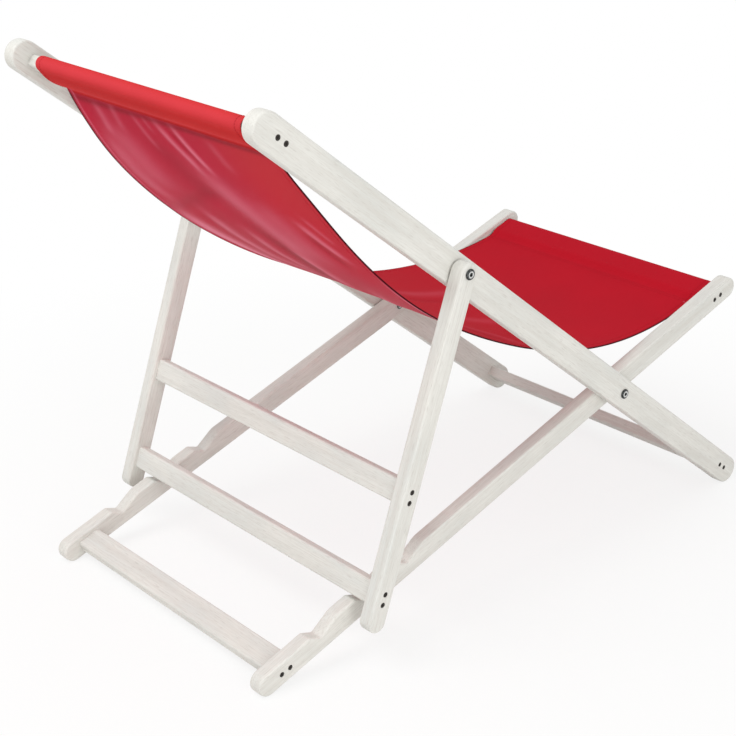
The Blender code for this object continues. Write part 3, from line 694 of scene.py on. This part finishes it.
sling = {
    "width": 0.430,
    "thick": 0.0011,
    "sideHem": 0.012,  # turned under along both sides
    "hemThick": 0.0008,  # what it adds
    "hemEase": 0.0006,  # half the slope where it ends
    "edgeRound": 0.0009,
    "hemEnd": 0.008,  # hem at each end of the cloth
    "seamReach": 0.032,  # bar's middle to the seam
    "barGap": 0.0002,
    "layerGap": 0.0001,
    "seamPull": 0.007,  # how stiffly a sleeve leaves its seam
    "barPull": 0.006,  # and comes onto its bar
    "slack": 0.005,  # how far a sleeve hangs off its bar
    # height of the seam over the bar's middle, degrees from level where the cloth leaves it, pull of the curve
    "head_bar": (-0.006, -58.8, 0.202),
    "knee_bar": (0.005, 11.0, 0.403),
    "nearEdge": (-0.0030, 0.0058, 0.0009, 0.0031),  # waves of the two hems over the span, half waves 1 to 4
    "farEdge": (-0.0108, -0.0060, -0.0015, -0.0012),
    "puckers": ((0.00014, 0.014), (0.00005, 0.012)),  # height and reach at the head seam and at the knee seam
    "crown": 0.0025,  # how much less the middle hangs than the hems
    "waist": 0.0045,  # how far each hem draws in below the head bar
    "rows": 270,
    "columns": 132,
    "fineReach": 0.03,  # rows are closer together in the sleeves and this far past their seams
    "fineShare": 2.6,
    "stitch": 0.0034,  # pitch
    "stitchLong": 0.0027,
    "stitchThick": 0.00027,
    "hemRow": 0.0022,  # from the side hem's inner edge
    "seamRows": (0.0012, 0.0062),
    "rowStart": 0.012,  # from the cloth's ends
    "rowReach": 0.982,  # of the half width
}


def sleeveLine(seam, away):
    # round a bar whose middle is at zero: over it, round its far edge, back below it to the seam, and the hem
    bar = bars["head_bar"]
    lift = bar["thick"] / 2 + sling["barGap"] + sling["thick"] / 2 + sling["hemThick"]
    flat = bar["width"] / 2 - barEdge
    edge = np.array((-flat, lift))
    over = bezier(seam, seam - away * sling["seamPull"], edge - (sling["barPull"], 0), edge, 24)
    across = np.linspace(edge, (flat, lift), 12)[1:-1]
    around = arc((flat, 0), lift, math.pi / 2, -math.pi / 2, 40)
    lower = np.array((away[1], -away[0]))
    lower = -lower * np.sign(lower[1])
    hemStart = seam + lower * (sling["thick"] + sling["layerGap"])
    slack = -lift - sling["slack"]
    below = bezier(around[-1], np.array((0, slack)), np.array((-flat - barEdge, slack)), hemStart, 50)[1:]
    hem = np.linspace(hemStart, hemStart + away * sling["hemEnd"], 6)[1:]
    return np.concatenate((over, across, around, below, hem))


def slingLine():
    # hem, head sleeve, one cubic curve to the knee sleeve, hem; with each point's share of the way between the seams
    ends = []
    for node, flip in (("head_bar", -1), ("knee_bar", 1)):
        bar, (seamZ, slope, pull) = bars[node], sling[node]
        spot = chair[bar["on"]]
        a, slope = math.radians(spot["slope"]), math.radians(slope)
        turn = np.array(((math.cos(a), math.sin(a)), (-math.sin(a), math.cos(a))))
        middle = turn @ (bar["x"], 0) + (spot["x"], spot["z"])
        leave = -flip * np.array((math.cos(slope), math.sin(slope)))
        away = np.linalg.solve(turn, leave) * (flip, 1)
        loop = middle + (sleeveLine(np.array((-sling["seamReach"], seamZ)), away) * (flip, 1)) @ turn.T
        ends.append((loop, loop[0] + leave * pull))
    (headLoop, headPull), (kneeLoop, kneePull) = ends
    free = bezier(headLoop[0], headPull, kneePull, kneeLoop[0], 240)[1:-1]
    line = np.concatenate((headLoop[::-1], free, kneeLoop))
    share = np.concatenate((np.zeros(len(headLoop)), np.linspace(0, 1, 240)[1:-1], np.ones(len(kneeLoop))))
    return line, share


clothLine, clothShare = slingLine()
steps = np.linalg.norm(np.diff(clothLine, axis=0), axis=1)
clothRun = np.concatenate(([0], np.cumsum(steps)))  # metres along the cloth
clothLong = clothRun[-1]
tangent = np.gradient(clothLine, clothRun, axis=0)
tangent /= np.linalg.norm(tangent, axis=1)[:, None]
headSeam = clothRun[np.argmax(clothShare > 0) - 1]
kneeSeam = clothRun[np.argmax(clothShare >= 1)]
print(f"sling cloth {clothLong:.3f} m long with its sleeves, seams at {headSeam:.3f} and {kneeSeam:.3f}")

# folds of the free cloth: half width and height in tenths of a millimetre, tone in hundredths (painted highlight
# above 0, painted shade below), and their line's points in pairs, as thousandths of the half width across and of the
# way between the seams; a height above 0 stands out on the reverse
slingFolds = (
    (60, 5, 30, 740, 20, 730, 50, 750, 100),
    (50, 4, 22, 550, 10, 570, 80),
    (40, 4, 24, 350, 20, 300, 110),
    (30, 3, 16, 240, 20, 220, 60),
    (50, 7, 55, 130, 20, 70, 70, 10, 110, -30, 150),
    (35, -4, -30, 20, 30, -40, 90, -80, 130),
    (40, 7, 68, -40, 20, -90, 80, -150, 140),
    (60, 4, 16, -360, 30, -400, 120),
    (190, 17, 42, -20, 120, -100, 180, -200, 240, -290, 310, -310, 380),
    (180, 10, 22, -380, 180, -450, 260, -520, 360),
    (110, 9, 48, -200, 330, -220, 420, -120, 500),
    (60, 8, 55, -630, 220, -720, 265, -830, 310),
    (70, -6, -40, -600, 250, -680, 300, -740, 340),
    (40, 4, 25, -740, 200, -860, 260),
    (220, 14, 28, 680, 60, 620, 140, 600, 240),
    (140, 10, 34, 840, 100, 830, 200, 760, 290),
    (90, -10, -30, 1000, 320, 700, 285, 450, 250, 200, 215, -50, 190),
    (170, 14, 110, 860, 310, 820, 380, 720, 460, 600, 540),
    (100, 8, 55, 460, 280, 450, 360, 400, 440),
    (80, 6, 45, 150, 310, 150, 380, 80, 450),
    (140, 7, 30, 620, 420, 200, 460, -150, 560),
    (140, -12, -55, 20, 270, -70, 330, -90, 400, 20, 460, 300, 560),
    (200, -6, -28, 340, 70, 220, 150, 100, 240),
    (100, 8, 35, -600, 420, -450, 500, -250, 600),
    (100, -9, 40, 370, 660, 340, 720, 330, 820),
    (100, -8, 30, -300, 640, -350, 720, -380, 800),
    (90, 9, -40, 180, 660, 160, 760),
    (100, 12, -60, -620, 560, -740, 620, -980, 655),
    (60, -6, 30, -550, 600, -750, 655, -980, 680),
)


# painted light and shade across the whole width: place in metres along the cloth from the hem under the head bar,
# half width, share
slingTones = {
    "hemEnd": (0.0, 0.0018, 0.40),  # painted shade at the hem's end
    "flap": (0.018, 0.0090, 0.09),  # painted highlight, the slack underside of the head sleeve
    "dip": (0.047, 0.0060, 0.16),  # painted shade, where it comes off the bar
    "ridge": (0.069, 0.0070, 0.12),  # painted highlight, on the bar's edge
    "seam": (0.1535, 0.0036, 0.72),  # dark, in the sleeve's shade
    # the others: shares, and where they fade, as metres from the hem or the cloth's side, places across or of the way
    # painted light on the sleeve over the head bar, fading out towards the seam
    "barLight": (0.9, 0.120, 0.086),
    # painted light on the near part of the reverse
    "sideLight": (0.5, (-0.10, -0.80), (0.45, 0.10)),
    "facePale": (0.10, 0.22, 0.45, 0.60),  # shares of the painted fold highlights on the face, over the back and added over the seat
    # share of the painted fold shade on the face
    "faceDark": 0.5,
    # painted highlight along the near hem of the reverse
    "nearHem": (0.60, (-0.920, -0.950), (0.30, 0.45)),
    # painted highlight, a pale line inside the far hem of the reverse
    "farHem": (0.40, 0.011, 0.0016, (0.40, 0.25)),
    # painted shade: wider along the far edge of the reverse, thin along every side edge
    "selvedgeShade": (0.0052, 0.0034),
    "sideEdge": (0.0014, 0.0004),
    "most": 0.9,
}


def toneAlong(name, run):
    # a bell exp(-(d / w)^2 / 2) of the distance d along the cloth to the tone's place
    place, width, share = slingTones[name]
    return share * np.exp(-0.5 * ((run - place) / width) ** 2)


def foldShares(part, across):
    # a bell exp(-(d / w)^2 / 2) of the distance d to the fold's nearest leg, fading at both ends of its way
    span = np.array((sling["width"] / 2, kneeSeam - headSeam))
    here = np.stack(np.broadcast_arrays(across * span[0], part * span[1]), -1)
    shares = []
    for width, high, tone, *line in slingFolds:
        spots = np.reshape(line, (-1, 2)) / 1000 * span
        legs = np.linalg.norm(np.diff(spots, axis=0), axis=1)
        nearest, way = np.full(here.shape[:-1], np.inf), np.zeros(here.shape[:-1])
        for number, leg in enumerate(legs):
            along = (spots[number + 1] - spots[number]) / leg
            reach = np.clip((here - spots[number]) @ along, 0, leg)
            distance = np.linalg.norm(here - spots[number] - reach[..., None] * along, axis=-1)
            closer = distance < nearest
            nearest = np.where(closer, distance, nearest)
            way = np.where(closer, (legs[:number].sum() + reach) / legs.sum(), way)
        fade = smoothStep(-0.1, 0.3, way) * smoothStep(1.1, 0.7, way)
        shares.append((np.exp(-0.5 * (nearest / (width / 10000)) ** 2) * fade, high / 10000, tone / 100))
    return shares


def clothRelief(run, across):
    # the two hems' own waves with the middle between them, the folds, and the puckers at the seams
    part = np.interp(run, clothRun, clothShare)
    near, far = (
        sum(high * np.sin((number + 1) * math.pi * part) for number, high in enumerate(sling[edge]))
        for edge in ("nearEdge", "farEdge")
    )
    free = np.sin(math.pi * part) ** 2
    relief = (near * (1 - across) + far * (1 + across)) / 2 + sling["crown"] * free * (1 - across ** 2)
    for share, high, _ in foldShares(part, across):
        relief = relief - high * share
    pucker = np.sin(across * 61 + 2.0 * np.sin(across * 9)) * (1 - np.abs(across) ** 8)
    (headHigh, headReach), (kneeHigh, kneeReach) = sling["puckers"]
    atHead = headHigh * np.exp(-(((run - headSeam) / headReach) ** 2))
    return relief + pucker * (atHead + kneeHigh * np.exp(-(((kneeSeam - run) / kneeReach) ** 2)))


def clothPoint(run, across, lift):
    # the line at that run, moved along its normal by the relief and the lift; across is -1 to 1
    x, z, tx, tz = (np.interp(run, clothRun, values) for values in (*clothLine.T, *tangent.T))
    size = np.hypot(tx, tz)
    out = clothRelief(run, across) + lift
    part = np.interp(run, clothRun, clothShare)
    half = sling["width"] / 2 - sling["waist"] * smoothStep(0.0, 0.10, part) * smoothStep(0.40, 0.22, part)
    return np.stack((x - tz / size * out, across * half + 0 * out, z + tx / size * out), -1)


def clothHalf(across):
    # half thickness above and below: the side hem doubles the cloth underneath, and both edges are round
    fromEdge, half, ease = (1 - np.abs(across)) * sling["width"] / 2, sling["thick"] / 2, sling["hemEase"]
    hem = smoothStep(sling["sideHem"] + ease, sling["sideHem"] - ease, fromEdge)
    edge = np.sqrt(np.clip(1 - (1 - np.clip(fromEdge / sling["edgeRound"], 0, 1)) ** 2, 0, 1))
    return half * edge, (half + sling["hemThick"] * hem) * edge


def toneSling(piece, run, across, under):
    # the material's shares at each point, of painted light, painted highlight, painted shade and painted dark edges:
    # run is a column, across a row, and under is 1 on the reverse
    part, tones = np.interp(run, clothRun, clothShare), slingTones
    fromEdge = (1 - np.abs(across)) * sling["width"] / 2
    between = smoothStep(0.0, 0.02, part) * smoothStep(1.0, 0.98, part)
    # painted shade along the far edge of the reverse
    selvedgeShade = smoothStep(*tones["selvedgeShade"], fromEdge) * under * (across > 0)
    outside = 1 - smoothStep(headSeam + 0.004, headSeam - 0.004, run)
    # painted light: the near part of the reverse, and the sleeve over the head bar
    share, ends, fade = tones["sideLight"]
    sideLit = share * smoothStep(*ends, across) * smoothStep(*fade, part) * under
    share, *fade = tones["barLight"]
    lit = share * smoothStep(*fade, run) + sideLit
    base, added, *fade = tones["facePale"]
    facePale = base + added * smoothStep(*fade, part)
    shares = foldShares(part, across)
    # painted highlight on the ridges of the folds, weaker on the face
    pale = sum(tone * share for share, _, tone in shares if tone > 0) * (facePale + (1 - facePale) * under)
    # painted shade in the folds, weaker on the face
    dark = sum(-tone * share for share, _, tone in shares if tone < 0)
    dark = dark * (tones["faceDark"] + (1 - tones["faceDark"]) * under)
    # painted highlight along the near hem and inside the far hem of the reverse
    share, ends, fade = tones["nearHem"]
    nearHem = share * smoothStep(*ends, across) * smoothStep(*fade, part) * under
    share, place, width, fade = tones["farHem"]
    farHem = share * np.exp(-0.5 * ((fromEdge - place) / width) ** 2) * (across > 0) * smoothStep(*fade, part) * under
    # painted highlight: the folds and hems only outside the head sleeve, the flap and the bar's edge everywhere
    pale = (pale + nearHem + farHem) * outside + toneAlong("ridge", run) + toneAlong("flap", run)
    # painted shade: the folds only outside the head sleeve; at the hem's end, where it comes off the bar and under
    # the sleeve at the seam
    dark = dark * outside + toneAlong("hemEnd", run) + toneAlong("dip", run) + toneAlong("seam", run) * under
    # painted shade along the edges
    setAttribute(piece, "edgeShade", np.maximum(smoothStep(*tones["sideEdge"], fromEdge), selvedgeShade) * between)
    setAttribute(piece, "paintedLight", np.clip(lit, 0, 1))
    setAttribute(piece, "paintedHighlight", np.clip(pale, 0, tones["most"]))
    setAttribute(piece, "paintedShade", np.clip(dark, 0, tones["most"]))


def makeSling():
    # closed section (upper face out, under face back) carried along the line, ends closed
    middle = np.linspace(-0.996, 0.996, sling["columns"])
    hemLines = np.array([1 - (sling["sideHem"] + d) / sling["width"] * 2 for d in (-0.0007, 0.0, 0.0007)])
    edges = np.array([0.9972, 0.9984, 0.9994, 1.0])
    across = np.sort(np.concatenate((middle, hemLines, -hemLines, edges, -edges)))
    inLoop = (clothRun < headSeam + sling["fineReach"]) | (clothRun > kneeSeam - sling["fineReach"])
    density = np.where(inLoop, sling["fineShare"], 1.0)
    filled = np.concatenate(([0], np.cumsum((density[1:] + density[:-1]) / 2 * np.diff(clothRun))))
    run = np.interp(np.linspace(0, filled[-1], sling["rows"]), filled, clothRun)
    above, below = clothHalf(across)
    back, run = across[-2:0:-1], run[:, None]
    points = np.concatenate((clothPoint(run, across, above), clothPoint(run, back, -below[-2:0:-1])), 1)
    rows, columns = points.shape[:2]
    faces = turnedFaces(rows, columns)
    piece = addPiece("canvasSling", points, faces, canvasFinish, 60.0)
    piece.data.materials.append(reverseFinish)
    reverse = np.zeros(len(faces), np.int32)
    reverse[:rows * columns - columns] = np.tile(np.arange(columns) >= len(across) - 1, rows - 1)
    piece.data.polygons.foreach_set("material_index", reverse)
    isUnder = np.concatenate((np.zeros(len(across)), np.ones(len(back))))
    allAcross = np.concatenate((across, back))
    toneSling(piece, run, allAcross, isUnder)
    uv = piece.data.uv_layers.new(name="clothPlace")
    corner = np.empty(len(piece.data.loops), np.int32)
    piece.data.loops.foreach_get("vertex_index", corner)
    place = np.stack(np.broadcast_arrays(allAcross * sling["width"] / 2, run), -1)
    uv.data.foreach_set("uv", place.reshape(-1, 2)[corner].astype(np.float32).ravel())
    return piece


def stitchRow(runs, acrosses, alongCloth, face):
    # each stitch is a six-sided rod on four rings, sunk at both ends; face is 1 on top and -1 underneath
    shift = np.array((-0.5, -0.26, 0.26, 0.5)) * sling["stitchLong"]
    rise = np.array((-0.9, 0.35, 0.35, -0.9)) * sling["stitchThick"]
    angle = np.arange(6) * math.pi / 3
    runs, acrosses = np.broadcast_arrays(runs, acrosses)
    run, across = runs[:, None, None], acrosses[:, None, None]
    ring, turn = shift[None, :, None], angle[None, None, :]
    sideways = sling["stitchThick"] * np.cos(turn)
    if alongCloth:
        run, across = run + ring, across + sideways * 2 / sling["width"]
    else:
        run, across = run + sideways, across + ring * 2 / sling["width"]
    base = clothHalf(acrosses)[0 if face > 0 else 1]
    lift = base[:, None, None] + rise[None, :, None] + sling["stitchThick"] * np.sin(turn)
    run, across, lift = np.broadcast_arrays(run, across, face * lift)
    first = np.arange(len(runs))[:, None, None] * 24
    faces = (first + gridFaces(4, 6, wrapColumns=True)[None]).reshape(-1, 4).tolist()
    ends = np.stack((first[:, 0] + np.arange(6), first[:, 0] + 18 + np.arange(6)), 1).reshape(-1, 6)
    return clothPoint(run, across, lift).reshape(-1, 3), faces + ends.tolist()


def makeStitches():
    # one row inside each side hem on both faces, and two rows at each seam and each end's hem
    sideRuns = np.arange(sling["rowStart"], clothLong - sling["rowStart"], sling["stitch"])
    sideAcross = 1 - 2 * (sling["sideHem"] - sling["hemRow"]) / sling["width"]
    seamAcross = np.arange(-sling["rowReach"], sling["rowReach"], 2 * sling["stitch"] / sling["width"])
    rowsOf = [(sideRuns, np.array([side * sideAcross]), True, face) for face in (1, -1) for side in (1, -1)]
    for start, step in ((headSeam, 1), (kneeSeam, -1), (sling["hemEnd"], -1), (clothLong - sling["hemEnd"], 1)):
        rowsOf += [(np.array([start + step * distance]), seamAcross, False, 1) for distance in sling["seamRows"]]
    points, faces = joinShells([stitchRow(*row) for row in rowsOf])
    return addPiece("slingStitches", points, faces, threadFinish, 80.0)


canvasPiece = makeSling()
stitchPiece = makeStitches()
for piece in (canvasPiece, stitchPiece):
    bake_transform(piece)
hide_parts("sling")
print("sling and stitches made")


studio = {
    "floor": 14.0,  # half its side
    "floorColour": "#F4F3F1",
    "whiteShare": (0.5, 1.3, 0.80, 1.0),  # of the floor as seen: 0.80 up to 0.5 m from the middle, all from 1.3 m
    "fill": 0.68,
    "key": ((-1.7, 0.4, 2.8), 2.0, 39.0),  # place, width, watts
    "side": ((-1.0, -3.0, 0.9), 2.0, 30.0),
    "aim": (0.0, 0.0, 0.3),
    "camera": (-1.488055, -1.5778, 1.1692),
    "yaw": 48.2737,
    "pitch": -23.0843,
    "lens": 77.43,
}


def seenShare(tree):
    # 1 for the rays that show the background: from the camera, mirrored or through glass
    rays = addNode(tree, "LightPath").outputs
    seen = addMath(tree, "ADD", rays["Is Camera Ray"], rays["Is Glossy Ray"], clamp=True)
    return addMath(tree, "ADD", seen, rays["Is Transmission Ray"], clamp=True)


def makeFloor():
    # pale floor: near the chair it takes its shadow, further away it is the white of the background
    material, tree = newMaterial("paleFloor")
    distance = addNode(tree, "VectorMath", {"operation": "LENGTH", 0: objectPlace(tree)}).outputs["Value"]
    share = addMath(tree, "MULTIPLY", seenShare(tree), mapRange(tree, distance, *studio["whiteShare"], "SMOOTHSTEP"))
    plain = addNode(tree, "BsdfDiffuse", {"Color": toLinear(studio["floorColour"])})
    white = addNode(tree, "Emission", {"Color": (1, 1, 1, 1), "Strength": 1.0})
    mixed = addNode(tree, "MixShader", {0: share, 1: plain.outputs["BSDF"], 2: white.outputs["Emission"]})
    addNode(tree, "OutputMaterial", {"Surface": mixed.outputs["Shader"]})
    half = studio["floor"]
    corners = [(-half, -half, 0), (half, -half, 0), (half, half, 0), (-half, half, 0)]
    mesh = bpy.data.meshes.new("floor")
    mesh.from_pydata(corners, [], [(0, 1, 2, 3)])
    mesh.materials.append(material)
    floor = addObject("floor", mesh)


def makeWorld():
    # even fill for the object, plain white where the background itself is seen or mirrored
    world = bpy.data.worlds.new("studio")
    world.use_nodes = True
    tree = world.node_tree
    tree.nodes.clear()
    fill = addNode(tree, "Background", {"Color": (1, 1, 1, 1), "Strength": studio["fill"]})
    white = addNode(tree, "Background", {"Color": (1, 1, 1, 1), "Strength": 1.0})
    settings = {0: seenShare(tree), 1: fill.outputs["Background"], 2: white.outputs["Background"]}
    mixed = addNode(tree, "MixShader", settings)
    addNode(tree, "OutputWorld", {"Surface": mixed.outputs["Shader"]})
    bpy.context.scene.world = world


def lookFrom(place, direction):
    # right = direction x up, so the object looks along its own -Z
    direction = np.array(direction) / np.linalg.norm(direction)
    right = np.cross(direction, (0, 0, 1))
    right /= np.linalg.norm(right)
    up = np.cross(right, direction)
    turn = Matrix((right, up, -direction)).transposed().to_4x4()
    return Matrix.Translation(place) @ turn


def makeLight(name, place, size, power):
    light = bpy.data.lights.new(name, "AREA")
    light.shape, light.size, light.energy = "DISK", size, power
    addObject(name, light).matrix_world = lookFrom(place, np.array(studio["aim"]) - place)


def makeCamera():
    yaw, pitch = math.radians(studio["yaw"]), math.radians(studio["pitch"])
    direction = (math.cos(yaw) * math.cos(pitch), math.sin(yaw) * math.cos(pitch), math.sin(pitch))
    lens = bpy.data.cameras.new("camera")
    lens.sensor_width, lens.lens = 36.0, studio["lens"]
    camera = addObject("camera", lens)
    camera.matrix_world = lookFrom(studio["camera"], direction)
    bpy.context.scene.camera = camera


makeFloor()
makeWorld()
makeLight("keyLight", *studio["key"])
makeLight("sideLight", *studio["side"])
makeCamera()
bpy.context.scene.view_settings.view_transform = "Standard"

bpy.context.view_layer.update()
print("scene ready")
